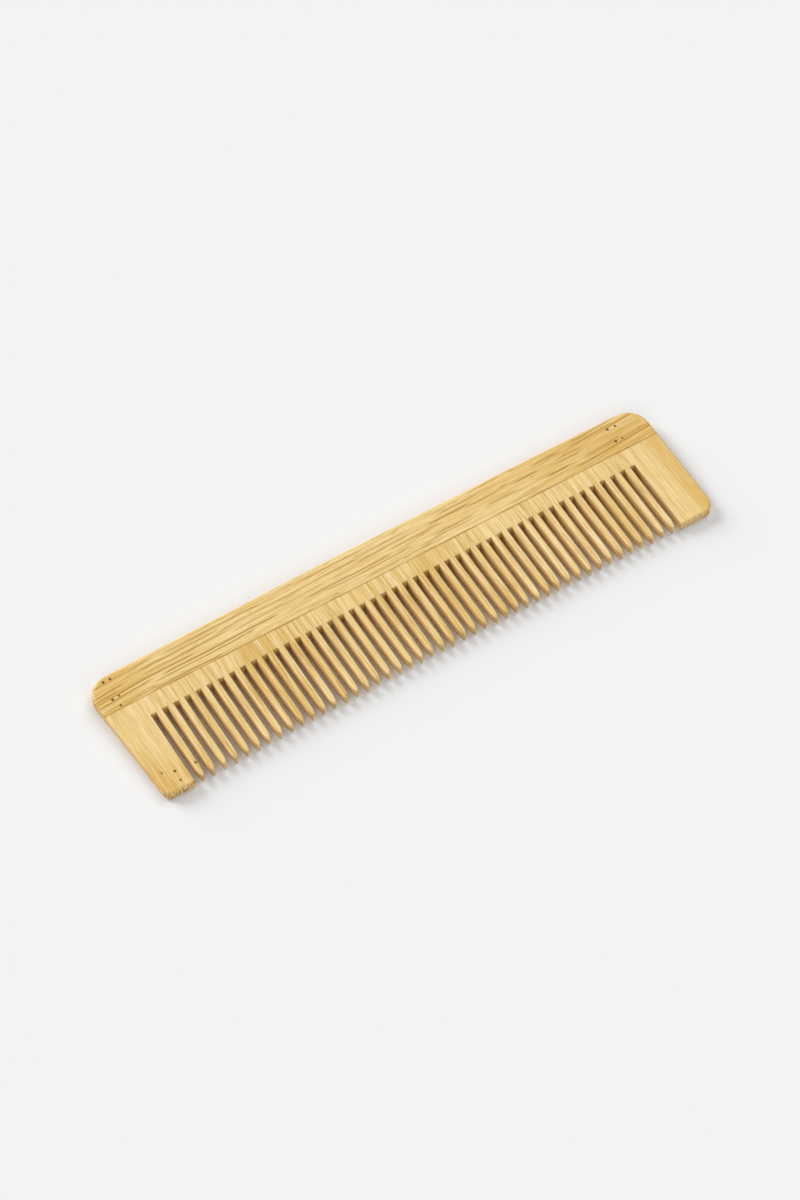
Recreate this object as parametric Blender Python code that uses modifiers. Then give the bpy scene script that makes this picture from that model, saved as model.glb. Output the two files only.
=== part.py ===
"""A laminated bamboo hair comb, lying flat.

A spine strip with its grain along the comb is glued to a board of narrow slats whose grain
runs along the teeth. Each slat has a tongue in the spine's groove, and its saw-cut teeth.
Millimetre sizes are turned into metres. +X runs along the comb, +Y towards the spine, +Z up.
"""

import math

import bmesh
import bpy

MM = 0.001

# Driving dimensions.
LENGTH = 180.0 * MM
SPINE_WIDTH = 12.1 * MM  # From the glue seam to the back edge, at the middle of the comb.
GUARD_REACH = 29.8 * MM  # From the glue seam to the ends of the two guards.
BACK_THICKNESS = 4.2 * MM
FRONT_THICKNESS = 2.9 * MM
TOOTH_COUNT = 45
PITCH = 3.445 * MM
SLOT_WIDTH = 0.5 * PITCH
ROW_SHIFT = -0.4 * MM  # The row of teeth sits a little nearer the left end than the right one.

# The outline of the whole comb.
BACK_BOW = 0.7 * MM
CORNER_RADIUS = 6.4 * MM
LEFT_TAPER = 2.6 * MM
RIGHT_TAPER = 0.5 * MM
LEFT_TOE = (2.2 * MM, 2.6 * MM)
RIGHT_TOE = (3.2 * MM, 5.4 * MM)
EDGE_ROUND = 1.0 * MM
CORNER_STEPS = 5
BOW_STEPS = 10

# The teeth.
ROOT_BAR = 6.05 * MM  # From the glue seam to the slots' roots, at the ends of the comb.
ROOT_BOW = 0.6 * MM
TOOTH_REACH = 29.9 * MM  # From the glue seam to the tips, at the ends of the comb.
TIP_BOW = 1.1 * MM
TIP_LENGTH = 1.5 * MM
TIP_BLUNTNESS = 1.05 * MM  # Half the thickness that is left at a tip.
TOOTH_LEAN = 0.4 * MM  # How far the outermost teeth lean inwards at their tips.
# How wide half a tooth is, in pitches, at shares of the way from its root to its tip.
TOOTH_HALF_WIDTHS = ((0.0, 0.25), (0.82, 0.235), (0.91, 0.2), (0.97, 0.13), (1.0, 0.06))

# The hidden joint between the spine and the slats.
GLUE_GAP = 0.3 * MM
TONGUE_THICKNESS = 1.2 * MM
TONGUE_LENGTH = 3.5 * MM
TONGUE_STOP = 4.5 * MM  # The joint stops this far inside the comb's ends.

# The slats meet in these slots, and the last slat is a narrow strip along the right end.
JOINT_SLOTS = (0, 2, 5, 8, 11, 14, 17, 20, 23, 25, 28, 31, 34, 37, 40, 43, 45)
EDGE_STRIP_WIDTH = 4.9 * MM

SEAM_Y = (GUARD_REACH - SPINE_WIDTH) / 2
BACK_Y = SEAM_Y + SPINE_WIDTH
FRONT_Y = SEAM_Y - GUARD_REACH
HALF_LENGTH = LENGTH / 2
FIRST_SLOT_X = ROW_SHIFT - TOOTH_COUNT * PITCH / 2
ROOM = 2.0 * MM  # How far a cutter reaches past what it cuts.

PALE_BAMBOO = (0.78, 0.58, 0.27)
AMBER_BAMBOO = (0.68, 0.45, 0.15)
SPINE_BAMBOO = (0.71, 0.49, 0.19)
AMBER_SLATS = (4, 10, 18)
ROUGHNESS = 0.55


def thickness_at(y):
    """The comb is a long wedge, thick at the back edge and thin at the teeth."""
    share = (y - FRONT_Y) / (BACK_Y - FRONT_Y)
    return FRONT_THICKNESS + share * (BACK_THICKNESS - FRONT_THICKNESS)


def bow_at(x, height):
    """How far a gently bowed line stands out at x, where it stands out by height at the middle."""
    return height * (1 - (x / HALF_LENGTH) ** 2)


def lean_at(x, share):
    """How far a slot that starts at x leans towards the middle, at a share of the way to the tips."""
    return -TOOTH_LEAN * share * x / HALF_LENGTH


def slot_x(slot):
    return FIRST_SLOT_X + slot * PITCH


def clear_scene():
    for obj in list(bpy.data.objects):
        bpy.data.objects.remove(obj, do_unlink=True)


def new_collection(name):
    collection = bpy.data.collections.new(name)
    bpy.context.scene.collection.children.link(collection)
    return collection


def bamboo(name, colour):
    material = bpy.data.materials.new(name)
    material.use_nodes = True
    shader = material.node_tree.nodes["Principled BSDF"]
    shader.inputs["Base Color"].default_value = (*colour, 1.0)
    shader.inputs["Roughness"].default_value = ROUGHNESS
    shader.inputs["Metallic"].default_value = 0.0
    return material


def hide_helper(obj):
    obj.hide_render = True
    obj.display_type = "WIRE"


def block(name, collection, low, high):
    """A box between two corners."""
    mesh = bpy.data.meshes.new(name)
    shape = bmesh.new()
    bmesh.ops.create_cube(shape, size=1.0)
    for vert in shape.verts:
        for axis in range(3):
            middle = (low[axis] + high[axis]) / 2
            vert.co[axis] = middle + vert.co[axis] * (high[axis] - low[axis])
    shape.to_mesh(mesh)
    shape.free()
    obj = bpy.data.objects.new(name, mesh)
    collection.objects.link(obj)
    return obj


def plate(name, collection, outlines, thickness):
    """Flat outlines, each a list of (x, y), made a plate from z = 0 up to the thickness."""
    curve = bpy.data.curves.new(name, "CURVE")
    curve.dimensions = "2D"
    curve.fill_mode = "BOTH"
    curve.extrude = thickness / 2
    for points in outlines:
        spline = curve.splines.new("POLY")
        spline.points.add(len(points) - 1)
        spline.use_cyclic_u = True
        for target, (x, y) in zip(spline.points, points):
            target.co = (x, y, 0.0, 1.0)
    guide = bpy.data.objects.new(name + "_outline", curve)
    collection.objects.link(guide)
    bpy.context.view_layer.update()
    mesh = bpy.data.meshes.new_from_object(guide.evaluated_get(bpy.context.evaluated_depsgraph_get()))
    bpy.data.objects.remove(guide, do_unlink=True)
    shape = bmesh.new()
    shape.from_mesh(mesh)
    bmesh.ops.remove_doubles(shape, verts=shape.verts, dist=0.01 * MM)
    bmesh.ops.translate(shape, verts=shape.verts, vec=(0.0, 0.0, thickness / 2))
    bmesh.ops.dissolve_limit(shape, angle_limit=math.radians(0.5), verts=shape.verts, edges=shape.edges)
    bmesh.ops.recalc_face_normals(shape, faces=shape.faces)
    shape.to_mesh(mesh)
    shape.free()
    mesh.name = name
    obj = bpy.data.objects.new(name, mesh)
    collection.objects.link(obj)
    return obj


def corner(centre, radii, start_degrees):
    """A quarter turn of an ellipse, anticlockwise."""
    points = []
    for step in range(CORNER_STEPS + 1):
        angle = math.radians(start_degrees + 90 * step / CORNER_STEPS)
        points.append((centre[0] + radii[0] * math.cos(angle), centre[1] + radii[1] * math.sin(angle)))
    return points


def comb_outline():
    """The outline of the whole comb, anticlockwise from its front left corner."""
    back = BACK_Y - BACK_BOW
    left_toe_x = -HALF_LENGTH + LEFT_TAPER + LEFT_TOE[0]
    right_toe_x = HALF_LENGTH - RIGHT_TAPER - RIGHT_TOE[0]
    corner_x = HALF_LENGTH - CORNER_RADIUS
    corner_y = back + bow_at(corner_x, BACK_BOW) - CORNER_RADIUS
    points = corner((left_toe_x, FRONT_Y + LEFT_TOE[1]), LEFT_TOE, 180)
    points += corner((right_toe_x, FRONT_Y + RIGHT_TOE[1]), RIGHT_TOE, 270)
    points += corner((corner_x, corner_y), (CORNER_RADIUS, CORNER_RADIUS), 0)
    for step in range(1, BOW_STEPS):
        x = corner_x * (1 - 2 * step / BOW_STEPS)
        points.append((x, back + bow_at(x, BACK_BOW)))
    points += corner((-corner_x, corner_y), (CORNER_RADIUS, CORNER_RADIUS), 90)
    return points


def make_blank(cutters):
    """The solid outer shape of the comb: its outline, made a wedge, with rounded rims."""
    blank = plate("blank", cutters, [comb_outline()], BACK_THICKNESS)
    for vert in blank.data.vertices:
        if vert.co.z > BACK_THICKNESS / 2:
            vert.co.z = thickness_at(vert.co.y)
    rounding = blank.modifiers.new("rounded_rims", "BEVEL")
    rounding.width = EDGE_ROUND
    rounding.segments = 2
    rounding.limit_method = "ANGLE"
    rounding.angle_limit = math.radians(60)
    hide_helper(blank)
    return blank


def tooth_flank(slot, tooth_side):
    """Points (x, y) down a tooth's flank from the root, in the slot's half towards tooth_side."""
    middle = slot_x(slot)
    root = SEAM_Y - ROOT_BAR + bow_at(middle, ROOT_BOW)
    tip = SEAM_Y - TOOTH_REACH + bow_at(middle, TIP_BOW)
    points = []
    for share, half_width in TOOTH_HALF_WIDTHS:
        reach = PITCH / 2 - half_width * PITCH
        x = middle + lean_at(middle, share) + tooth_side * reach
        points.append((x, root + share * (tip - root)))
    points.append((points[-1][0], FRONT_Y - ROOM))
    return points


def guard_flank(slot, guard_side):
    """Points (x, y) down a guard's straight inner side."""
    middle = slot_x(slot)
    root = SEAM_Y - ROOT_BAR + bow_at(middle, ROOT_BOW)
    x = middle + guard_side * SLOT_WIDTH / 2
    return [(x, root), (x + lean_at(middle, 1.0), FRONT_Y - ROOM)]


def slot_outline(slot):
    left = guard_flank(slot, -1) if slot == 0 else tooth_flank(slot, -1)
    right = guard_flank(slot, 1) if slot == TOOTH_COUNT else tooth_flank(slot, 1)
    return left + right[::-1]


def make_slots(cutters):
    """One cutter that holds every slot between two teeth, or between a tooth and a guard."""
    outlines = [slot_outline(slot) for slot in range(TOOTH_COUNT + 1)]
    slots = plate("slots", cutters, outlines, BACK_THICKNESS + 2 * ROOM)
    slots.location.z = -ROOM
    hide_helper(slots)
    return slots


def tooth_slat_profile(x):
    """Outline (y, z) of a slat seen from its side at x: over-tall, and pointed at the tip."""
    tip = SEAM_Y - TOOTH_REACH + bow_at(x, TIP_BOW)
    middle = thickness_at(tip) / 2
    rise = (middle - TIP_BLUNTNESS) / TIP_LENGTH
    run = (BACK_THICKNESS + ROOM) / rise
    low = middle - TIP_BLUNTNESS - rise * run
    high = middle + TIP_BLUNTNESS + rise * run
    seam = SEAM_Y - GLUE_GAP / 2
    point = [(tip, middle + TIP_BLUNTNESS), (tip, middle - TIP_BLUNTNESS)]
    return point + [(min(tip + run, seam), low), (seam, low), (seam, high), (min(tip + run, seam), high)]


def cut(obj, operation, other):
    modifier = obj.modifiers.new(operation.lower() + "_" + other.name, "BOOLEAN")
    modifier.operation = operation
    modifier.object = other
    modifier.solver = "EXACT"


def make_tongue(name, cutters, left, right):
    """The tongue of a slat, which starts inside the slat and fills its stretch of the groove."""
    middle = thickness_at(SEAM_Y) / 2
    low = (left, SEAM_Y - ROOM, middle - TONGUE_THICKNESS / 2)
    high = (right, SEAM_Y + TONGUE_LENGTH, middle + TONGUE_THICKNESS / 2)
    tongue = block(name + "_tongue", cutters, low, high)
    hide_helper(tongue)
    return tongue


def make_groove(cutters):
    """The stopped groove in the spine, a glue gap wider than the tongues all round."""
    middle = thickness_at(SEAM_Y) / 2
    half_width = TONGUE_THICKNESS / 2 + GLUE_GAP
    reach = HALF_LENGTH - TONGUE_STOP + GLUE_GAP
    low = (-reach, SEAM_Y - ROOM, middle - half_width)
    high = (reach, SEAM_Y + TONGUE_LENGTH + GLUE_GAP, middle + half_width)
    groove = block("groove", cutters, low, high)
    hide_helper(groove)
    return groove


def make_spine(parts, cutters, blank):
    low = (-HALF_LENGTH - ROOM, SEAM_Y + GLUE_GAP / 2, -ROOM)
    high = (HALF_LENGTH + ROOM, BACK_Y + ROOM, BACK_THICKNESS + ROOM)
    spine = block("spine", parts, low, high)
    cut(spine, "INTERSECT", blank)
    cut(spine, "DIFFERENCE", make_groove(cutters))
    spine.data.materials.append(bamboo("spine_bamboo", SPINE_BAMBOO))
    return spine


def make_slat(name, parts, cutters, blank, slots, left, right, has_teeth):
    """A slat between left and right, its tongue included and any teeth sawn in it."""
    if has_teeth:
        profile = tooth_slat_profile((left + right) / 2)
        slat = plate(name, parts, [profile], right - left)
        # The profile is drawn in Y and Z, so the plate's own axes X, Y, Z turn to Y, Z, X.
        slat.rotation_euler = (math.radians(90), 0.0, math.radians(90))
        slat.location.x = left
    else:
        low = (left, FRONT_Y - ROOM, -ROOM)
        high = (right, SEAM_Y - GLUE_GAP / 2, BACK_THICKNESS + ROOM)
        slat = block(name, parts, low, high)
    cut(slat, "INTERSECT", blank)
    tongue_left = max(left, -HALF_LENGTH + TONGUE_STOP)
    tongue_right = min(right, HALF_LENGTH - TONGUE_STOP)
    if tongue_right > tongue_left + TONGUE_THICKNESS:
        cut(slat, "UNION", make_tongue(name, cutters, tongue_left, tongue_right))
    cut(slat, "DIFFERENCE", slots)
    return slat


def make_slats(parts, cutters, blank, slots):
    """The slats from left to right, with a glue gap between each two."""
    joints = [slot_x(slot) for slot in JOINT_SLOTS]
    edges = [-HALF_LENGTH - ROOM] + joints + [HALF_LENGTH - EDGE_STRIP_WIDTH, HALF_LENGTH + ROOM]
    names = ["left_guard_slat"]
    names += [f"tooth_slat_{number:02d}" for number in range(1, len(JOINT_SLOTS))]
    names += ["right_guard_inner_slat", "right_guard_edge_slat"]
    for index, name in enumerate(names):
        left = edges[index] + GLUE_GAP / 2
        right = edges[index + 1] - GLUE_GAP / 2
        has_teeth = name.startswith("tooth")
        slat = make_slat(name, parts, cutters, blank, slots, left, right, has_teeth)
        colour = AMBER_BAMBOO if index in AMBER_SLATS else PALE_BAMBOO
        slat.data.materials.append(bamboo(name + "_bamboo", colour))


def main():
    clear_scene()
    parts = new_collection("bamboo_comb")
    cutters = new_collection("cutters")
    blank = make_blank(cutters)
    slots = make_slots(cutters)
    make_spine(parts, cutters, blank)
    make_slats(parts, cutters, blank, slots)


main()
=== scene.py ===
"""The looks of a laminated bamboo comb: fine meshes for its spine and slats, bamboo, light and camera.

Everything is in metres in the row frame: +X along the comb, +Y towards the spine, +Z up.
Only the grain and the marks in the bamboo are given in millimetres.
"""

import math
import random

import bmesh
import bpy
from mathutils import Matrix, Vector


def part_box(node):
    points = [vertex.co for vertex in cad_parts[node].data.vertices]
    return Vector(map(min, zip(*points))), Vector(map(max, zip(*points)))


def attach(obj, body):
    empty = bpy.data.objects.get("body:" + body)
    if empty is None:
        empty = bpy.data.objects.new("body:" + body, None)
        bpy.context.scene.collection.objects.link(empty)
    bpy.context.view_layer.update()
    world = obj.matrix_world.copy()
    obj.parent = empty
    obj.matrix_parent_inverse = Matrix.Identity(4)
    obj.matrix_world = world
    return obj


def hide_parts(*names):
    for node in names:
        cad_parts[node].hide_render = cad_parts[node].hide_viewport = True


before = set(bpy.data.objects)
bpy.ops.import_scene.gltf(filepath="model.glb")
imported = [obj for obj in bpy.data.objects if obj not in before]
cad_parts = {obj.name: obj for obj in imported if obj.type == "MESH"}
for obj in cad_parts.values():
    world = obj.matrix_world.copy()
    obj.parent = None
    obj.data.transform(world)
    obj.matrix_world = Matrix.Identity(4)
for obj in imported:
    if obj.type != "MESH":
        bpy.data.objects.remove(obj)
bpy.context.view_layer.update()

MM = 0.001

# The frame's slats, the joints between them and its wedge.
GLUE_GAP = 0.3 * MM
EDGE_ROUND = 1.0 * MM  # Of the frame's rims. Its back edge is this far past its thickest part.
SPINE_LOW, SPINE_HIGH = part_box("spine")
HALF_LENGTH = SPINE_HIGH.x
BACK_Y = SPINE_HIGH.y
SEAM_Y = SPINE_LOW.y - GLUE_GAP / 2
FRONT_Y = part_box("left_guard_slat")[0].y
SEAM_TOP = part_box("right_guard_edge_slat")[1].z
TOOTH_SLAT_COUNT = 16
TOOTH_COUNT = 45
FIRST_SLOT_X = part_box("tooth_slat_01")[0].x - GLUE_GAP / 2
LAST_SLOT_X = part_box("tooth_slat_16")[1].x + GLUE_GAP / 2
PITCH = (LAST_SLOT_X - FIRST_SLOT_X) / TOOTH_COUNT
WEDGE_SLOPE = (SPINE_HIGH.z - SEAM_TOP) / (BACK_Y - EDGE_ROUND - SEAM_Y + GLUE_GAP / 2)

# The outline of the whole comb.
BACK_BOW = 0.7 * MM
CORNER_RADIUS = 6.4 * MM
LEFT_TAPER = 2.6 * MM
RIGHT_TAPER = 0.5 * MM
LEFT_TOE = (2.2 * MM, 2.6 * MM)
RIGHT_TOE = (3.2 * MM, 5.4 * MM)
CORNER_STEPS = 14
BOW_STEPS = 24

# The rounded edges: the outer rims, and the edges that the saw left.
RIM_ROUND = 0.95 * MM
RIM_SEGMENTS = 5
FRONT_RIM_SHARE = 0.7  # The share of that rounding that is left at the front.
SAW_ROUND = 0.36 * MM
SAW_SEGMENTS = 4
GUARD_SEGMENTS = 3
CRISP_SHARE = 0.4  # The share of the saw's rounding on the less worn edges of the teeth.

# The teeth. A share of a tooth's length counts from its root to its tip.
ROOT_BAR = 6.05 * MM
ROOT_BOW = 0.6 * MM
TOOTH_REACH = 29.95 * MM
TIP_BOW = 1.15 * MM
TOOTH_LEAN = 0.4 * MM
TOOTH_HALF_WIDTH = 0.26 * PITCH
WAIST_HALF_WIDTH = 0.25 * PITCH
TOOTH_SHIFT = 0.01 * PITCH
FOOT_SPREAD = 0.2 * MM  # How much further each side of a tooth stands out at its underside.
FOOT_START = 0.1  # The share of the length at which this spread, and the tooth's own width, are full.
FOOT_FADE = (0.5, 0.9)  # The shares between which the spread fades out.
TIP_START = 0.85  # The share at which the tooth's sides start to close.
TIP_THINNING = 0.94  # The same for its two faces.
TIP_BLUNTNESS = 0.72  # The share of the thickness that is left at the very end.
SHANK_WEAR = 0.06
SHANK_WEAR_FULL = 0.3  # The share at which that wear is full.
TIP_WEAR = 0.1
TIP_WEAR_START = 0.93

# How teeth differ from one another.
TOOTH_SEED = 1000
WIDTH_SPREAD = 0.03
LEAN_SPREAD = 0.07 * MM
REACH_SPREAD = (-0.2 * MM, 0.12 * MM)
ROUNDNESS_SPREAD = (0.8, 1.2)
TIP_SIDE_SPREAD = 0.12 * MM

# How finely a slat is divided before it is shaped.
REFERENCE_THICKNESS = 3.6 * MM
TOOTH_COLUMNS = 2
SLOT_LINES_PER_PITCH = 8
BAR_ROWS = 6
SHANK_ROWS = 22
TIP_ROWS = 12
FLAT_TIP_DEGREES = 72.0
WALL_CUTS = 5
SHARP_DEGREES = 42.0

# The cutter that saws a guard's half slot.
CUTTER_ROOM = 1.0 * MM  # How far it reaches past the guard's front end and below its underside.
CUTTER_HEIGHT = 8.0 * MM
FLAT_DEGREES = 0.2  # Faces that meet at less than this are one flat face.

# How close counts as touching, as on a joint and as on a saw cut.
TOUCHING = 0.001 * MM
ON_JOINT = 0.01 * MM
ON_SAW_CUT = 0.05 * MM
# A face looks along an axis if its normal has more than this of it, and stands upright below this.
SQUARE = 0.9
UPRIGHT = 0.1

# Bamboo, as colours of the bare surface.
PALE = (0.80, 0.575, 0.235)
AMBER = (0.68, 0.43, 0.105)
CREAM = (0.86, 0.68, 0.38)
STREAK = (0.41, 0.205, 0.016)
# The browner sides of the slats: partly sawn wood, partly painted shade on the teeth's sides in the slots.
SAWN_AND_SHADE_BROWN = (0.56, 0.335, 0.14)
PORE = (0.09, 0.04, 0.008)
GLUE_LINE = (0.34, 0.18, 0.015)
ROUGHNESS = (0.42, 0.58)
GLOSS = 0.4
BUMP_STRENGTH = 0.5
BUMP_DEPTH = 0.05 * MM
FIBRE_RELIEF = 0.4
THREAD_RELIEF = 0.6

# The grain: how large its patches are along it, across it and in depth, in millimetres.
WANDER_SIZES = (18.0, 6.0, 6.0)
BAND_SIZES = (60.0, 2.2, 2.2)
FIBRE_SIZES = (18.0, 0.62, 0.8)
THREAD_SIZES = (8.0, 0.27, 0.4)
DASH_SIZES = (5.0, 0.42, 0.6)
BUNDLE_SIZES = (0.42, 2.0)  # Of the cut fibres in end grain: across and in depth.
GLUE_STRETCH = 14.0  # The length over which the glue line changes.
WANDER = 0.16
TONE_SPREAD = 0.25
NOISE_LOW = 0.3  # Nearly all noise lies between these two.
NOISE_HIGH = 0.7
# Where in the noise each pattern starts, so that no two look alike.
WANDER_SEED = 5.0
FIBRE_SEED = 11.0
THREAD_SEED = 23.0
DASH_SEED = 37.0
SPINE_SEED = 3.0
FIRST_SLAT_SEED = 1.0
SLAT_SEED_STEP = 7.3
STREAK_FADE = 3.5  # The length over which a long streak fades out at each end.
STREAK_CORE = 0.25  # The share of its half width that has its full strength.
TIP_TONE_Y = (-16.0, -5.0)  # A slat's tone changes towards its tips between these two.

# The spine's bends and tones. Each has the x where it starts and ends, and its size at both.
SPINE_RISE = 0.012  # How much the fibres rise for each millimetre along the spine.
LEFT_NODE_RISE = (-92.0, -70.0, -0.9, 0.0)
RIGHT_NODE_RISE = (64.0, 92.0, 0.0, 1.2)
LEFT_TONE = (-92.0, -66.0, 1.0, 0.0)
RIGHT_TONE = (10.0, 80.0, 0.0, 0.8)

# In millimetres: start and end along the spine, place across it and half width. Then the strength.
SPINE_STREAKS = (
    (-92, -69, 19.4, 0.36, 0.6),
    (-68, -36, 18.8, 0.38, 0.65),
    (-24, -2, 18.85, 0.36, 0.6),
    (-77, -50, 17.5, 0.36, 0.65),
    (-52, -4, 16.8, 0.34, 0.6),
    (-92, -79, 16.7, 0.38, 0.7),
    (-75, -47, 16.0, 0.36, 0.65),
    (-92, -81, 15.6, 0.38, 0.75),
    (-48, -16, 14.9, 0.34, 0.5),
    (-92, -81, 14.75, 0.32, 0.6),
    (-85, -58, 14.55, 0.42, 0.85),
    (-92, -72, 13.45, 0.4, 0.75),
    (-71, -33, 13.2, 0.4, 0.85),
    (-26, 4, 13.25, 0.36, 0.75),
    (-74, -40, 12.25, 0.36, 0.7),
    (-20, 10, 12.35, 0.34, 0.65),
    (-90, -72, 11.7, 0.3, 0.45),
    (-86, -71, 10.9, 0.3, 0.5),
    (-76, -51, 10.3, 0.4, 0.8),
    (-8, 16, 10.45, 0.34, 0.6),
    (-8, 12, 17.5, 0.34, 0.6),
    (-8, 12, 16.0, 0.34, 0.6),
    (2, 22, 14.55, 0.34, 0.6),
    (15, 31, 12.15, 0.34, 0.7),
    (10, 30, 11.2, 0.32, 0.55),
    (20, 36, 17.25, 0.36, 0.75),
    (16, 32, 15.85, 0.38, 0.85),
    (62, 94, 9.95, 0.42, 0.85),
    (66, 82, 12.0, 0.36, 0.75),
    (64, 82, 17.1, 0.36, 0.75),
    (28, 41, 15.0, 0.36, 0.7),
    (30, 44, 19.0, 0.34, 0.6),
    (33, 46, 12.55, 0.34, 0.65),
    (39, 53, 9.4, 0.34, 0.6),
    (44, 55, 14.85, 0.38, 0.8),
    (53, 64, 11.65, 0.42, 0.95),
    (51, 63, 17.2, 0.38, 0.8),
    (58, 69, 14.0, 0.36, 0.75),
    (58, 70, 15.3, 0.34, 0.65),
    (65, 85, 18.3, 0.36, 0.7),
    (67, 81, 11.3, 0.34, 0.65),
    (79, 93, 10.7, 0.34, 0.65),
    (76, 89, 16.4, 0.34, 0.65),
)
# In millimetres: place along and across the grain, half length and half width. Then the strength.
SPINE_PORES = (
    (-84.8, 18.5, 0.55, 0.55, 0.95),
    (-82.7, 18.5, 0.5, 0.52, 0.95),
    (-85.15, 12.45, 0.6, 0.55, 0.95),
    (-83.1, 12.65, 0.5, 0.42, 0.9),
    (-84.1, 9.75, 0.5, 0.45, 0.9),
    (78.2, 17.2, 0.58, 0.55, 0.95),
    (80.8, 17.1, 0.58, 0.52, 0.9),
    (78.0, 12.5, 0.58, 0.55, 0.95),
    (80.2, 12.5, 0.42, 0.5, 0.8),
    (79.4, 8.9, 0.6, 0.38, 0.7),
)
LEFT_GUARD_PORES = (
    (-15.4, -81.5, 0.56, 0.5, 0.95),
    (-14.1, -84.8, 0.8, 0.45, 0.5),
    (-18.5, -81.5, 0.48, 0.44, 0.85),
)
FIRST_TOOTH_PORES = ((-15.95, -75.55, 0.52, 0.46, 0.95),)

# From left to right, each slat's tone, how streaky it is and how its tone changes towards the tips.
SLAT_LOOKS = (
    (0.15, 0.8, 0.75),
    (0.26, 1.0, 0.5),
    (0.24, 1.0, -0.05),
    (0.40, 1.1, -0.25),
    (0.80, 1.0, -0.35),
    (0.52, 1.2, 0.0),
    (0.24, 1.0, -0.5),
    (0.27, 0.7, -0.2),
    (0.40, 1.1, -0.3),
    (0.38, 1.2, 0.15),
    (0.68, 0.7, -0.15),
    (0.36, 1.1, 0.15),
    (0.20, 1.2, -0.05),
    (0.06, 1.3, 0.0),
    (0.16, 1.2, 0.0),
    (0.32, 0.8, 0.05),
    (0.06, 1.2, 0.0),
    (0.12, 0.6, 0.0),
    (1.00, 0.6, 0.0),
)

# The camera, placed from the comb's top face, which slopes with the wedge.
CAMERA_AZIMUTH = -31.59
CAMERA_ELEVATION = 57.60
CAMERA_DISTANCE = 728.6 * MM
CAMERA_LENS = 79.45
SENSOR_WIDTH = 36.0
TARGET = (-2.77 * MM, -9.83 * MM)  # Along the top face, from the middle of the seam.

# The studio.
FLOOR_REACH = 30.0
FLOOR_COLOUR = (0.80, 0.80, 0.80)
AIR_STRENGTH = 0.07
# Each light's name, its turn, height and width in degrees, and its strength.
LIGHTS = (
    ("window_behind", 116, 24, 36, 3.3),
    ("pale_wall", 20, 52, 50, 1.5),
    ("pale_screen_in_front", 280, 34, 36, 0.62),
    ("pale_screen_at_the_left", 222, 33, 30, 0.8),
)


def thickness_at(y):
    """The comb is a wedge that gets thinner from its back edge to the tips."""
    return SEAM_TOP + (y - SEAM_Y) * WEDGE_SLOPE


def bow_at(x, height):
    """How far a gently bowed line stands out at x, where it stands out by height at the middle."""
    return height * (1 - (x / HALF_LENGTH) ** 2)


def smooth_step(low, high, value):
    share = min(max((value - low) / (high - low), 0.0), 1.0)
    return share * share * (3 - 2 * share)


def link_object(name, data):
    """A new object in the scene."""
    obj = bpy.data.objects.new(name, data)
    bpy.context.scene.collection.objects.link(obj)
    return obj


def mesh_from(name, shape):
    """A new mesh of a bmesh, which is freed."""
    mesh = bpy.data.meshes.new(name)
    shape.to_mesh(mesh)
    shape.free()
    return mesh


def new_points(made):
    """The points among what an extrusion made."""
    return [item for item in made["geom"] if isinstance(item, bmesh.types.BMVert)]


def baked_mesh(name, mesh, add_modifiers):
    """The mesh as it is after the modifiers that add_modifiers puts on it."""
    holder = link_object(name, mesh)
    add_modifiers(holder)
    bpy.context.view_layer.update()
    graph = bpy.context.evaluated_depsgraph_get()
    result = bpy.data.meshes.new_from_object(holder.evaluated_get(graph))
    bpy.data.objects.remove(holder, do_unlink=True)
    return result


def rounded_rims(name, mesh, width, segments):
    """The mesh with its edges rounded by their bevel weights, where a weight of 1 means width."""

    def add_rounding(holder):
        rounding = holder.modifiers.new("rounded_rims", "BEVEL")
        rounding.width = width
        rounding.segments = segments
        rounding.limit_method = "WEIGHT"
        rounding.use_clamp_overlap = False

    return baked_mesh(name, mesh, add_rounding)


def corner(centre, radii, start_degrees):
    """A quarter turn of an ellipse, anticlockwise."""
    points = []
    for step in range(CORNER_STEPS + 1):
        angle = math.radians(start_degrees + 90 * step / CORNER_STEPS)
        points.append((centre[0] + radii[0] * math.cos(angle), centre[1] + radii[1] * math.sin(angle)))
    return points


def comb_outline():
    """The outline of the whole comb, anticlockwise from its front left corner."""
    back = BACK_Y - BACK_BOW
    corner_x = HALF_LENGTH - CORNER_RADIUS
    corner_y = back + bow_at(corner_x, BACK_BOW) - CORNER_RADIUS
    left_toe = (-HALF_LENGTH + LEFT_TAPER + LEFT_TOE[0], FRONT_Y + LEFT_TOE[1])
    right_toe = (HALF_LENGTH - RIGHT_TAPER - RIGHT_TOE[0], FRONT_Y + RIGHT_TOE[1])
    points = corner(left_toe, LEFT_TOE, 180)
    points += corner(right_toe, RIGHT_TOE, 270)
    points += corner((corner_x, corner_y), (CORNER_RADIUS, CORNER_RADIUS), 0)
    for step in range(1, BOW_STEPS):
        x = corner_x * (1 - 2 * step / BOW_STEPS)
        points.append((x, back + bow_at(x, BACK_BOW)))
    points += corner((-corner_x, corner_y), (CORNER_RADIUS, CORNER_RADIUS), 90)
    return points


def make_blank():
    """The solid outer shape of the comb, with rims that are rounded less towards the front."""
    shape = bmesh.new()
    outline = [shape.verts.new((x, y, 0.0)) for x, y in comb_outline()]
    face = shape.faces.new(outline)
    made = bmesh.ops.extrude_face_region(shape, geom=[face])
    for point in new_points(made):
        point.co.z = thickness_at(point.co.y)
    bmesh.ops.recalc_face_normals(shape, faces=shape.faces)
    weights = shape.edges.layers.float.new("bevel_weight_edge")
    for edge in shape.edges:
        start, end = edge.verts
        goes_round = (start.co.z < MM) == (end.co.z < MM)
        if goes_round:
            y = (start.co.y + end.co.y) / 2
            edge[weights] = FRONT_RIM_SHARE + (1 - FRONT_RIM_SHARE) * smooth_step(FRONT_Y, SEAM_Y, y)
    return rounded_rims("blank", mesh_from("blank", shape), RIM_ROUND, RIM_SEGMENTS)


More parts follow.
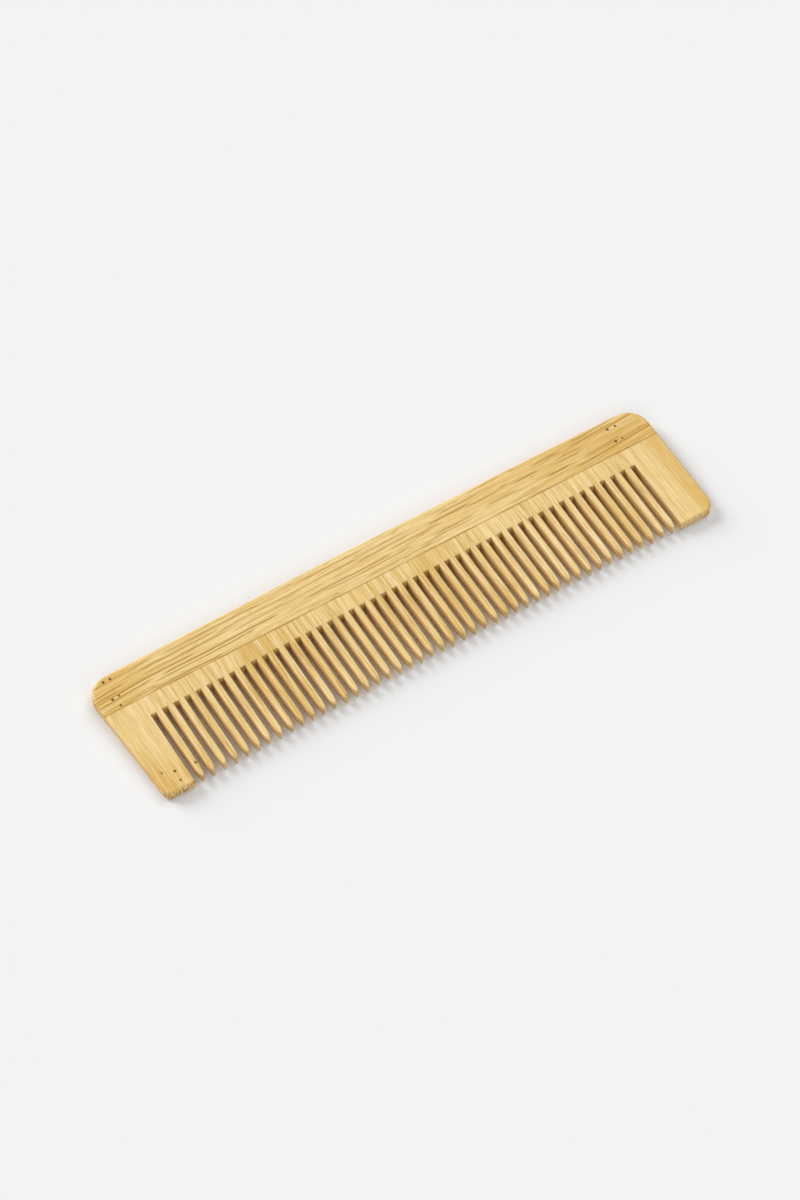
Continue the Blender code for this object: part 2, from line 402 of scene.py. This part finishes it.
def cut_from_blank(name, blank, planes):
    """The part of the blank that is behind each plane, given as (point, normal)."""
    shape = bmesh.new()
    shape.from_mesh(blank)
    for point, normal in planes:
        everything = list(shape.verts) + list(shape.edges) + list(shape.faces)
        made = bmesh.ops.bisect_plane(
            shape, geom=everything, dist=TOUCHING, plane_co=point, plane_no=normal, clear_outer=True
        )
        rim = [item for item in made["geom_cut"] if isinstance(item, bmesh.types.BMEdge)]
        bmesh.ops.contextual_create(shape, geom=rim)
    bmesh.ops.recalc_face_normals(shape, faces=shape.faces)
    return mesh_from(name, shape)


def guard_flank(slot_x, guard_side):
    """The x and y of the root of a guard's sawn side, and how far that side leans at its front end."""
    edge_x = slot_x + guard_side * PITCH / 4
    root_y = SEAM_Y - ROOT_BAR + bow_at(slot_x, ROOT_BOW)
    lean = -TOOTH_LEAN * slot_x / HALF_LENGTH
    return edge_x, root_y, lean


def half_slot_cutter(slot_x, guard_side):
    """An object that fills a guard's half of the slot beside it, and reaches past its open sides."""
    edge_x, root_y, lean = guard_flank(slot_x, guard_side)
    far_x = slot_x - guard_side * PITCH
    front_y = FRONT_Y - CUTTER_ROOM
    plan = [(edge_x, root_y), (edge_x + lean, front_y), (far_x, front_y), (far_x, root_y)]
    shape = bmesh.new()
    face = shape.faces.new([shape.verts.new((x, y, -CUTTER_ROOM)) for x, y in plan])
    made = bmesh.ops.extrude_face_region(shape, geom=[face])
    bmesh.ops.translate(shape, verts=new_points(made), vec=(0.0, 0.0, CUTTER_HEIGHT))
    bmesh.ops.recalc_face_normals(shape, faces=shape.faces)
    return link_object("half_slot", mesh_from("half_slot", shape))


def saw_rims(shape, flank):
    """The edges where a guard's sawn faces meet its top and its underside."""
    edge_x, root_y, lean = flank
    sawn = set()
    for side in shape.faces:
        middle = side.calc_center_median()
        flank_x = edge_x + lean * (root_y - middle.y) / (root_y - FRONT_Y)
        on_flank = abs(middle.x - flank_x) < ON_SAW_CUT and abs(side.normal.x) > SQUARE
        on_root = abs(middle.y - root_y) < ON_SAW_CUT and abs(side.normal.y) > SQUARE
        if on_flank or on_root:
            sawn.add(side)
    rims = []
    for edge in shape.edges:
        in_slot = [side for side in edge.link_faces if side in sawn]
        level = [side for side in edge.link_faces if abs(side.normal.z) > SQUARE]
        if len(in_slot) == 1 and level:
            rims.append(edge)
    return rims


def saw_half_slot(name, mesh, slot_x, guard_side):
    """Cuts a guard's half of the slot beside it, and rounds the edges that the saw left."""
    cutter = half_slot_cutter(slot_x, guard_side)

    def saw(holder):
        cut = holder.modifiers.new("saw", "BOOLEAN")
        cut.operation = "DIFFERENCE"
        cut.solver = "EXACT"
        cut.object = cutter

    sawn = baked_mesh(name, mesh, saw)
    bpy.data.objects.remove(cutter, do_unlink=True)
    shape = bmesh.new()
    shape.from_mesh(sawn)
    flat = math.radians(FLAT_DEGREES)
    bmesh.ops.dissolve_limit(shape, angle_limit=flat, verts=shape.verts, edges=shape.edges)
    rims = saw_rims(shape, guard_flank(slot_x, guard_side))
    bmesh.ops.bevel(
        shape,
        geom=rims,
        offset=SAW_ROUND,
        segments=GUARD_SEGMENTS,
        profile=0.5,
        affect="EDGES",
        clamp_overlap=True,
    )
    shape.to_mesh(sawn)
    shape.free()
    return sawn


def spread_rows(share):
    """Moves evenly spaced rows of a tooth closer together towards the end of its tip."""
    rows = share * (SHANK_ROWS + TIP_ROWS)
    if rows <= SHANK_ROWS:
        return TIP_START * rows / SHANK_ROWS
    angle = math.radians(FLAT_TIP_DEGREES * (rows - SHANK_ROWS) / TIP_ROWS)
    return TIP_START + (1 - TIP_START) * math.sin(angle)


def slot_lines(start, end):
    """Lines between start and end, without the two."""
    count = round((end - start) / PITCH * SLOT_LINES_PER_PITCH)
    return [(start + (end - start) * step / count, None) for step in range(1, count)]


def slat_lines(left, right, centres):
    """The x of each line of points along a slat, and the tooth that it belongs to, or None in a slot."""
    lines = [(left, None)]
    for tooth, centre in enumerate(centres):
        lines += slot_lines(lines[-1][0], centre - TOOTH_HALF_WIDTH)
        for step in range(TOOTH_COLUMNS + 1):
            lines.append((centre + TOOTH_HALF_WIDTH * (2 * step / TOOTH_COLUMNS - 1), tooth))
    return lines + slot_lines(lines[-1][0], right) + [(right, None)]


def fill_rows(shape, rows):
    """Adds the faces between rows of points, each of which runs from left to right."""
    for upper, lower in zip(rows, rows[1:]):
        for column in range(len(upper) - 1):
            shape.faces.new((upper[column], lower[column], lower[column + 1], upper[column + 1]))


def thicken(shape):
    """Makes a flat sheet a slab of the reference thickness, with points up its walls."""
    made = bmesh.ops.extrude_face_region(shape, geom=list(shape.faces))
    bmesh.ops.translate(shape, verts=new_points(made), vec=(0.0, 0.0, REFERENCE_THICKNESS))
    bmesh.ops.recalc_face_normals(shape, faces=shape.faces)
    uprights = [edge for edge in shape.edges if abs(edge.verts[0].co.z - edge.verts[1].co.z) > MM]
    bmesh.ops.subdivide_edges(shape, edges=uprights, cuts=WALL_CUTS, use_grid_fill=True)


def plain_slat(left, right, centres, root_y):
    """A slat with straight, square, unworn teeth, as a bmesh."""
    shape = bmesh.new()
    lines = slat_lines(left, right, centres)
    bar_ys = [SEAM_Y + (root_y - SEAM_Y) * row / BAR_ROWS for row in range(BAR_ROWS + 1)]
    bar = [[shape.verts.new((x, y, 0.0)) for x, _ in lines] for y in bar_ys]
    fill_rows(shape, bar)
    length = TOOTH_REACH - ROOT_BAR
    row_count = SHANK_ROWS + TIP_ROWS
    tooth_ys = [root_y - length * row / row_count for row in range(1, row_count + 1)]
    for tooth in range(len(centres)):
        columns = [index for index, (_, owner) in enumerate(lines) if owner == tooth]
        rows = [[bar[-1][index] for index in columns]]
        rows += [[shape.verts.new((lines[index][0], y, 0.0)) for index in columns] for y in tooth_ys]
        fill_rows(shape, rows)
    thicken(shape)
    return shape


def rim_weight(edge, left, right):
    """How much to round an edge of a slat: the left sides of the teeth fully, other sawn edges less."""
    level = [face for face in edge.link_faces if abs(face.normal.z) > SQUARE]
    walls = [face for face in edge.link_faces if abs(face.normal.z) < UPRIGHT]
    if len(level) != 1 or len(walls) != 1:
        return 0.0
    middle = walls[0].calc_center_median()
    if min(abs(middle.x - left), abs(middle.x - right), abs(middle.y - SEAM_Y)) < ON_JOINT:
        return 0.0
    return 1.0 if walls[0].normal.x < -SQUARE else CRISP_SHARE


def tooth_traits(number):
    """Small differences that make each tooth its own, always the same for the same tooth."""
    dice = random.Random(TOOTH_SEED + number)
    return {
        "width": 1 + dice.uniform(-WIDTH_SPREAD, WIDTH_SPREAD),
        "lean": dice.uniform(-LEAN_SPREAD, LEAN_SPREAD),
        "reach": dice.uniform(*REACH_SPREAD),
        "roundness": dice.uniform(*ROUNDNESS_SPREAD),
        "tip_side": dice.uniform(-TIP_SIDE_SPREAD, TIP_SIDE_SPREAD),
    }


def closing(share, start):
    """How far a tooth is still open, from 1 to 0, where it closes like the end of an ellipse."""
    past = max(share - start, 0.0) / (1 - start)
    return math.sqrt(max(1 - past * past, 0.0))


def worn_corner(across, up, wear):
    """Pulls a point of a square section, which is 2 wide and 2 high, towards a circle."""
    size = math.hypot(across, up)
    if size == 0:
        return across, up
    pull = 1 + wear * (max(abs(across), abs(up)) / size - 1)
    return across * pull, up * pull


def half_width_at(share, up, width):
    """Half a tooth's width at a share of its length, and at a height from -1 below to 1 on top."""
    foot = smooth_step(0.0, FOOT_START, share)
    waist = 1 - (1 - WAIST_HALF_WIDTH / TOOTH_HALF_WIDTH) * smooth_step(0.0, TIP_START, share)
    waist *= 1 + (width - 1) * foot
    spread = FOOT_SPREAD * foot * smooth_step(FOOT_FADE[1], FOOT_FADE[0], share)
    return TOOTH_HALF_WIDTH * waist * closing(share, TIP_START) + spread * (1 - up) / 2


def shape_tooth(point, centre, root_y, traits):
    """Moves a point of a straight, square tooth to its place on the worn, tapered one."""
    root = SEAM_Y - ROOT_BAR + bow_at(centre, ROOT_BOW)
    tip = SEAM_Y - TOOTH_REACH + bow_at(centre, TIP_BOW) - traits["reach"]
    share = spread_rows((root_y - point.y) / (TOOTH_REACH - ROOT_BAR))
    y = root + share * (tip - root)
    wear = SHANK_WEAR * smooth_step(0.0, SHANK_WEAR_FULL, share)
    wear += TIP_WEAR * smooth_step(TIP_WEAR_START, 1.0, share)
    across = (point.x - centre) / TOOTH_HALF_WIDTH
    up = (point.z - REFERENCE_THICKNESS / 2) / (REFERENCE_THICKNESS / 2)
    across, up = worn_corner(across, up, traits["roundness"] * wear)
    thinning = TIP_BLUNTNESS + (1 - TIP_BLUNTNESS) * closing(share, TIP_THINNING)
    lean = -TOOTH_LEAN * centre / HALF_LENGTH + traits["lean"] + traits["tip_side"] * share * share
    point.x = centre + lean * share + across * half_width_at(share, up, traits["width"])
    point.y = y
    point.z = thickness_at(y) / 2 * (1 + up * thinning)


def make_tooth_slat(name, left, right, first_tooth):
    """A slat with its teeth, between the glue joints at left and right."""
    count = round((right - left) / PITCH)
    centres = [left + (index + 0.5) * PITCH + TOOTH_SHIFT for index in range(count)]
    root_y = SEAM_Y - ROOT_BAR
    shape = plain_slat(left, right, centres, root_y)
    weights = shape.edges.layers.float.new("bevel_weight_edge")
    for edge in shape.edges:
        edge[weights] = rim_weight(edge, left, right)
    mesh = rounded_rims(name, mesh_from(name, shape), SAW_ROUND, SAW_SEGMENTS)
    shape = bmesh.new()
    shape.from_mesh(mesh)
    for vert in shape.verts:
        if vert.co.y < root_y - TOUCHING:
            tooth = min(range(count), key=lambda index: abs(vert.co.x - centres[index]))
            shape_tooth(vert.co, centres[tooth], root_y, tooth_traits(first_tooth + tooth))
        else:
            share = (SEAM_Y - vert.co.y) / ROOT_BAR
            vert.co.y = SEAM_Y - share * (ROOT_BAR - bow_at(vert.co.x, ROOT_BOW))
            vert.co.z *= thickness_at(vert.co.y) / REFERENCE_THICKNESS
    shape.to_mesh(mesh)
    shape.free()
    return mesh


class Graph:
    """Adds shader nodes to a tree and joins them up."""

    def __init__(self, tree):
        self.tree = tree

    def add(self, kind, settings=None, inputs=None):
        node = self.tree.nodes.new(kind)
        for name, value in (settings or {}).items():
            setattr(node, name, value)
        for name, value in (inputs or {}).items():
            self.feed(node.inputs[name], value)
        return node

    def feed(self, socket, value):
        if isinstance(value, bpy.types.NodeSocket):
            self.tree.links.new(value, socket)
        else:
            socket.default_value = value

    def maths(self, operation, first, second=0.0, third=0.0):
        inputs = {0: first, 1: second, 2: third}
        return self.add("ShaderNodeMath", {"operation": operation}, inputs).outputs[0]

    def ramp(self, value, low, high, start=0.0, end=1.0):
        """Eases from start, where value is low, to end, where it is high."""
        inputs = {"Value": value, "From Min": low, "From Max": high, "To Min": start, "To Max": end}
        settings = {"interpolation_type": "SMOOTHSTEP"}
        return self.add("ShaderNodeMapRange", settings, inputs).outputs["Result"]

    def mix(self, share, first, second):
        """A colour that goes from first to second as share goes from 0 to 1."""
        node = self.add("ShaderNodeMix", {"data_type": "RGBA"})
        for socket, value in ((node.inputs[0], share), (node.inputs[6], first), (node.inputs[7], second)):
            self.feed(socket, value)
        return node.outputs[2]

    def vector(self, x, y, z):
        return self.add("ShaderNodeCombineXYZ", None, {0: x, 1: y, 2: z}).outputs[0]

    def noise(self, place, detail=2.0):
        inputs = {"Vector": place, "Scale": 1.0, "Detail": detail, "Roughness": 0.5}
        return self.add("ShaderNodeTexNoise", None, inputs).outputs["Fac"]

    def group(self, tree, values):
        """The result of a node group that is given the values in order."""
        node = self.add("ShaderNodeGroup", {"node_tree": tree})
        for socket, value in zip(node.inputs, values):
            self.feed(socket, value)
        return node.outputs[0]


def opaque(colour):
    return (*colour, 1.0)


def fibre_noise(graph, grain, sizes, seed, detail=2.0):
    """Noise in patches of these sizes along the grain, across it and in depth."""
    along, across, depth = sizes
    place = graph.vector(
        graph.maths("MULTIPLY_ADD", grain["along"], 1 / along, seed),
        graph.maths("MULTIPLY_ADD", grain["across"], 1 / across, 2.7 * seed),
        graph.maths("MULTIPLY", grain["depth"], 1 / depth),
    )
    return graph.noise(place, detail)


def new_group(name, input_names):
    """An empty node group with one output. Returns its tree, its graph and its inputs."""
    tree = bpy.data.node_groups.new(name, "ShaderNodeTree")
    for input_name in input_names:
        tree.interface.new_socket(input_name, in_out="INPUT", socket_type="NodeSocketFloat")
    tree.interface.new_socket("Mark", in_out="OUTPUT", socket_type="NodeSocketFloat")
    return tree, Graph(tree), tree.nodes.new("NodeGroupInput").outputs


def squared_offset(graph, place, middle, half_size):
    """The square of how far a place is from the middle, where the rim is at 1."""
    ratio = graph.maths("DIVIDE", graph.maths("SUBTRACT", place, middle), half_size)
    return graph.maths("MULTIPLY", ratio, ratio)


def pore_group():
    """A soft oval dot, 1 at its middle and 0 at its rim."""
    names = ("Along", "Across", "Middle Along", "Middle Across", "Half Length", "Half Width", "Strength")
    tree, graph, given = new_group("pore", names)
    along = squared_offset(graph, given["Along"], given["Middle Along"], given["Half Length"])
    across = squared_offset(graph, given["Across"], given["Middle Across"], given["Half Width"])
    mark = graph.ramp(graph.maths("ADD", along, across), 0.2, 1.0, given["Strength"], 0.0)
    tree.links.new(mark, tree.nodes.new("NodeGroupOutput").inputs[0])
    return tree


def streak_group():
    """A long thin line along the grain, which fades out at both ends."""
    names = ("Along", "Across", "Start", "End", "Line", "Half Width", "Strength")
    tree, graph, given = new_group("long_streak", names)
    offset = graph.maths("ABSOLUTE", graph.maths("SUBTRACT", given["Across"], given["Line"]))
    core = graph.maths("MULTIPLY", given["Half Width"], STREAK_CORE)
    body = graph.ramp(offset, core, given["Half Width"], given["Strength"], 0.0)
    full_from = graph.maths("ADD", given["Start"], STREAK_FADE)
    full_to = graph.maths("SUBTRACT", given["End"], STREAK_FADE)
    body = graph.maths("MULTIPLY", body, graph.ramp(given["Along"], given["Start"], full_from))
    body = graph.maths("MULTIPLY", body, graph.ramp(given["Along"], full_to, given["End"], 1.0, 0.0))
    tree.links.new(body, tree.nodes.new("NodeGroupOutput").inputs[0])
    return tree


def strongest(graph, tree, grain, marks):
    """The strongest, at each place, of the marks that a node group makes."""
    total = 0.0
    for mark in marks:
        value = graph.group(tree, (grain["along"], grain["across"], *mark))
        total = graph.maths("MAXIMUM", total, value)
    return total


def wood_places(graph, in_spine):
    """Each place of a piece in millimetres, and the same along and across its straight grain."""
    place = graph.add("ShaderNodeTexCoord").outputs["Object"]
    in_mm = graph.add("ShaderNodeVectorMath", {"operation": "SCALE"}, {"Vector": place, "Scale": 1 / MM})
    x, y, z = graph.add("ShaderNodeSeparateXYZ", None, {0: in_mm.outputs[0]}).outputs
    along, across = (x, y) if in_spine else (y, x)
    return {"x": x, "y": y, "along": along, "across": across, "depth": z}


def spine_bend(graph, x):
    """How far the spine's fibres have risen at x: gently along it, and more steeply at its two nodes."""
    rise = graph.maths("MULTIPLY", x, SPINE_RISE)
    rise = graph.maths("ADD", rise, graph.ramp(x, *LEFT_NODE_RISE))
    return graph.maths("ADD", rise, graph.ramp(x, *RIGHT_NODE_RISE))


def follow_fibres(graph, wood, in_spine, seed):
    """The places measured across the fibres as they run, which is bent and wanders a little."""
    across = wood["across"]
    if in_spine:
        across = graph.maths("SUBTRACT", across, spine_bend(graph, wood["x"]))
    noise = fibre_noise(graph, dict(wood, across=across), WANDER_SIZES, seed + WANDER_SEED)
    wander = graph.ramp(noise, NOISE_LOW, NOISE_HIGH, -WANDER, WANDER)
    return dict(wood, across=graph.maths("ADD", across, wander))


def ground_colour(graph, wood, grain, looks, seed):
    """The wood between its fibres, in broad bands from pale to amber."""
    bands = fibre_noise(graph, grain, BAND_SIZES, seed)
    tone = graph.ramp(bands, NOISE_LOW, NOISE_HIGH, looks["tone"] - TONE_SPREAD, looks["tone"] + TONE_SPREAD)
    for axis, low, high, start, end in looks["tone_changes"]:
        tone = graph.maths("ADD", tone, graph.ramp(wood[axis], low, high, start, end))
    return graph.mix(tone, opaque(PALE), opaque(AMBER))


def draw_fibres(graph, colour, noises, looks):
    """Lays pale and dark fibres, finer dark threads and short dark dashes over the wood."""
    fibres, threads, dashes = noises
    streaks = looks["streaks"]
    colour = graph.mix(graph.ramp(fibres, 0.52, 0.32, 0.0, 0.6 * streaks), colour, opaque(CREAM))
    colour = graph.mix(graph.ramp(fibres, 0.5, 0.68, 0.0, 0.3 * streaks), colour, opaque(STREAK))
    colour = graph.mix(graph.ramp(threads, 0.54, 0.68, 0.0, 0.42 * streaks), colour, opaque(STREAK))
    return graph.mix(graph.ramp(dashes, 0.62, 0.74, 0.0, looks["dashes"]), colour, opaque(STREAK))


def draw_marks(graph, colour, wood, grain, upward, looks):
    """Lays a piece's own long streaks over the wood, and its pores over the top face only."""
    if "long_streaks" in looks:
        lines = strongest(graph, LONG_STREAK, grain, looks["long_streaks"])
        colour = graph.mix(lines, colour, opaque(STREAK))
    if "pores" in looks:
        dots = strongest(graph, PORE_DOT, wood, looks["pores"])
        dots = graph.maths("MULTIPLY", dots, graph.ramp(upward, 0.5, 0.9))
        colour = graph.mix(dots, colour, opaque(PORE))
    return colour


def draw_glue(graph, colour, wood):
    """Darkens the wood along the seam, in some stretches more than in others."""
    place = graph.vector(graph.maths("MULTIPLY", wood["x"], 1 / GLUE_STRETCH), 0.0, 0.0)
    strength = graph.ramp(graph.noise(place, 1.0), 0.35, 0.65, 0.45, 0.95)
    off_seam = graph.maths("ABSOLUTE", graph.maths("SUBTRACT", wood["y"], SEAM_Y / MM))
    glue = graph.maths("MULTIPLY", graph.ramp(off_seam, 0.05, 0.36, 1.0, 0.0), strength)
    return graph.mix(glue, colour, opaque(GLUE_LINE))


def draw_sawn_and_shaded_sides(graph, colour, sideways):
    """Gives a slat's faces that look left or right, its teeth's sides too, a browner colour: partly the
    colour of sawn wood, partly painted shade on the teeth's sides in the slots.
    """
    sawn = graph.ramp(graph.maths("ABSOLUTE", sideways), 0.5, 0.95, 0.0, 0.5)
    return graph.mix(sawn, colour, opaque(SAWN_AND_SHADE_BROWN))


def draw_end_grain(graph, colour, wood, facing, contrast, seed):
    """Shows pale and dark cut bundles of fibres where the wood's face is across the grain."""
    end_grain = graph.ramp(graph.maths("ABSOLUTE", facing), 0.35, 0.8)
    across, depth = BUNDLE_SIZES
    place = graph.vector(
        graph.maths("MULTIPLY", wood["across"], 1 / across),
        graph.maths("MULTIPLY", wood["depth"], 1 / depth),
        seed,
    )
    bundles = graph.noise(place, 1.0)
    pale = graph.maths("MULTIPLY", end_grain, graph.ramp(bundles, 0.5, 0.62, 0.0, 0.75 * contrast))
    dark = graph.maths("MULTIPLY", end_grain, graph.ramp(bundles, 0.38, 0.5, 0.8 * contrast, 0.0))
    colour = graph.mix(pale, colour, opaque(CREAM))
    return graph.mix(dark, colour, opaque(STREAK))


def finish_surface(graph, shader, fibres, threads):
    """A dull gloss that varies with the fibres, and a fine relief."""
    graph.feed(shader.inputs["Roughness"], graph.ramp(fibres, NOISE_LOW, NOISE_HIGH, *ROUGHNESS))
    graph.feed(shader.inputs["Specular IOR Level"], GLOSS)
    raised = graph.maths("MULTIPLY", fibres, FIBRE_RELIEF)
    sunk = graph.maths("MULTIPLY", threads, THREAD_RELIEF)
    height = graph.maths("SUBTRACT", raised, sunk)
    inputs = {"Strength": BUMP_STRENGTH, "Distance": BUMP_DEPTH, "Height": height}
    graph.feed(shader.inputs["Normal"], graph.add("ShaderNodeBump", None, inputs).outputs["Normal"])


def bamboo(name, looks, seed):
    """Bamboo with its grain along X in the spine and along Y in a slat."""
    material = bpy.data.materials.new(name)
    material.use_nodes = True
    graph = Graph(material.node_tree)
    shader = material.node_tree.nodes["Principled BSDF"]
    in_spine = looks["in_spine"]
    wood = wood_places(graph, in_spine)
    grain = follow_fibres(graph, wood, in_spine, seed)
    fibres = fibre_noise(graph, grain, FIBRE_SIZES, seed + FIBRE_SEED)
    threads = fibre_noise(graph, grain, THREAD_SIZES, seed + THREAD_SEED, 1.0)
    dashes = fibre_noise(graph, grain, DASH_SIZES, seed + DASH_SEED, 1.0)
    normal = graph.add("ShaderNodeNewGeometry").outputs["Normal"]
    sideways, lengthways, upward = graph.add("ShaderNodeSeparateXYZ", None, {0: normal}).outputs

    colour = ground_colour(graph, wood, grain, looks, seed)
    colour = draw_fibres(graph, colour, (fibres, threads, dashes), looks)
    colour = draw_marks(graph, colour, wood, grain, upward, looks)
    colour = draw_glue(graph, colour, wood)
    if not in_spine:
        # Browner sides: partly sawn wood, partly painted shade in the slots between the teeth.
        colour = draw_sawn_and_shaded_sides(graph, colour, sideways)
    facing = sideways if in_spine else lengthways
    colour = draw_end_grain(graph, colour, wood, facing, looks["end_contrast"], seed)
    graph.feed(shader.inputs["Base Color"], colour)
    finish_surface(graph, shader, fibres, threads)
    return material


def slat_looks(index):
    """What the slat with this number looks like, where 0 is the left guard's."""
    tone, streaks, tip_tone = SLAT_LOOKS[index]
    looks = {
        "in_spine": False,
        "tone": tone,
        "tone_changes": (("y", *TIP_TONE_Y, tip_tone, 0.0),),
        "streaks": streaks,
        "dashes": 0.15,
        "end_contrast": 1.0 if index == 0 else 0.5,
    }
    if index == 0:
        looks["pores"] = LEFT_GUARD_PORES
    if index == 1:
        looks["pores"] = FIRST_TOOTH_PORES
    return looks


def spine_looks():
    return {
        "in_spine": True,
        "tone": 0.2,
        "tone_changes": (("x", *LEFT_TONE), ("x", *RIGHT_TONE)),
        "streaks": 0.8,
        "dashes": 0.5,
        "end_contrast": 0.6,
        "long_streaks": SPINE_STREAKS,
        "pores": SPINE_PORES,
    }


def add_piece(name, mesh, node, material):
    """Shows a mesh as a piece that stands for a node of the frame."""
    mesh.materials.clear()
    mesh.materials.append(material)
    mesh.polygons.foreach_set("use_smooth", [True] * len(mesh.polygons))
    mesh.set_sharp_from_angle(angle=math.radians(SHARP_DEGREES))
    piece = link_object(name, mesh)
    flattening = piece.modifiers.new("flat_faces_stay_flat", "WEIGHTED_NORMAL")
    flattening.keep_sharp = True
    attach(piece, "root")
    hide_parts(node)


def make_left_guard(blank, below_seam):
    planes = [below_seam, ((FIRST_SLOT_X, 0, 0), (1, 0, 0))]
    guard = cut_from_blank("comb_left_guard", blank, planes)
    return saw_half_slot("comb_left_guard", guard, FIRST_SLOT_X, -1)


def make_right_guard(blank, below_seam):
    """The right guard's two slats: the inner one beside the last slot, and the edge one."""
    joint_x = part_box("right_guard_edge_slat")[0].x - GLUE_GAP / 2
    planes = [below_seam, ((LAST_SLOT_X, 0, 0), (-1, 0, 0)), ((joint_x, 0, 0), (1, 0, 0))]
    inner = cut_from_blank("comb_right_guard_inner", blank, planes)
    inner = saw_half_slot("comb_right_guard_inner", inner, LAST_SLOT_X, 1)
    edge = cut_from_blank("comb_right_guard_edge", blank, [below_seam, ((joint_x, 0, 0), (-1, 0, 0))])
    return inner, edge


def make_tooth_slats():
    """The nodes and meshes of the slats with teeth, from left to right."""
    slats = []
    first_tooth = 0
    for number in range(1, TOOTH_SLAT_COUNT + 1):
        node = f"tooth_slat_{number:02d}"
        low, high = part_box(node)
        left, right = low.x - GLUE_GAP / 2, high.x + GLUE_GAP / 2
        slats.append((node, make_tooth_slat("comb_" + node, left, right, first_tooth)))
        first_tooth += round((right - left) / PITCH)
    return slats


def make_pieces():
    blank = make_blank()
    seam_point = (0.0, SEAM_Y, 0.0)
    spine = cut_from_blank("comb_spine", blank, [(seam_point, (0, -1, 0))])
    spine_bamboo = bamboo("spine_bamboo", spine_looks(), SPINE_SEED)
    add_piece("comb_spine", spine, "spine", spine_bamboo)
    below_seam = (seam_point, (0, 1, 0))
    right_inner, right_edge = make_right_guard(blank, below_seam)
    slats = [("left_guard_slat", make_left_guard(blank, below_seam))]
    slats += make_tooth_slats()
    slats += [("right_guard_inner_slat", right_inner), ("right_guard_edge_slat", right_edge)]
    for index, (node, mesh) in enumerate(slats):
        seed = SLAT_SEED_STEP * index + FIRST_SLAT_SEED
        material = bamboo(node + "_bamboo", slat_looks(index), seed)
        add_piece("comb_" + node, mesh, node, material)


def make_camera():
    azimuth, elevation = math.radians(CAMERA_AZIMUTH), math.radians(CAMERA_ELEVATION)
    across = math.cos(elevation)
    back = Vector((math.sin(azimuth) * across, -math.cos(azimuth) * across, math.sin(elevation)))
    face = Matrix.Translation((0, SEAM_Y, SEAM_TOP)) @ Matrix.Rotation(math.atan(WEDGE_SLOPE), 4, "X")
    place = Matrix.Translation(Vector((*TARGET, 0.0)) + back * CAMERA_DISTANCE)
    turn = (-back).to_track_quat("-Z", "Y").to_matrix().to_4x4()
    data = bpy.data.cameras.new("camera")
    data.lens = CAMERA_LENS
    data.sensor_width = SENSOR_WIDTH
    data.clip_start = 0.01
    data.clip_end = 20.0
    camera = link_object("camera", data)
    camera.matrix_world = face @ place @ turn
    bpy.context.scene.camera = camera


def add_soft_light(name, turn, height, size, strength):
    """A light far away at turn degrees from +X towards +Y and height degrees up, size degrees wide."""
    lamp = bpy.data.lights.new(name, "SUN")
    lamp.energy = strength
    lamp.angle = math.radians(size)
    light = link_object(name, lamp)
    turn, height = math.radians(turn), math.radians(height)
    across = math.cos(height)
    towards = Vector((across * math.cos(turn), across * math.sin(turn), math.sin(height)))
    light.rotation_mode = "QUATERNION"
    light.rotation_quaternion = towards.to_track_quat("Z", "Y")


def make_floor():
    """A wide, pale, dull floor."""
    shape = bmesh.new()
    bmesh.ops.create_grid(shape, x_segments=1, y_segments=1, size=FLOOR_REACH)
    mesh = mesh_from("floor", shape)
    floor = link_object("floor", mesh)
    paint = bpy.data.materials.new("floor_paint")
    paint.use_nodes = True
    shader = paint.node_tree.nodes["Principled BSDF"]
    shader.inputs["Base Color"].default_value = opaque(FLOOR_COLOUR)
    shader.inputs["Roughness"].default_value = 0.9
    shader.inputs["Specular IOR Level"].default_value = 0.0
    mesh.materials.append(paint)


def make_light():
    """Large soft lights, and a weak light from all round."""
    world = bpy.data.worlds.new("studio_air")
    world.use_nodes = True
    air = world.node_tree.nodes["Background"]
    air.inputs["Color"].default_value = (1.0, 1.0, 1.0, 1.0)
    air.inputs["Strength"].default_value = AIR_STRENGTH
    bpy.context.scene.world = world
    for light in LIGHTS:
        add_soft_light(*light)
    bpy.context.scene.view_settings.view_transform = "Standard"


PORE_DOT = pore_group()
LONG_STREAK = streak_group()
make_pieces()
make_floor()
make_light()
make_camera()
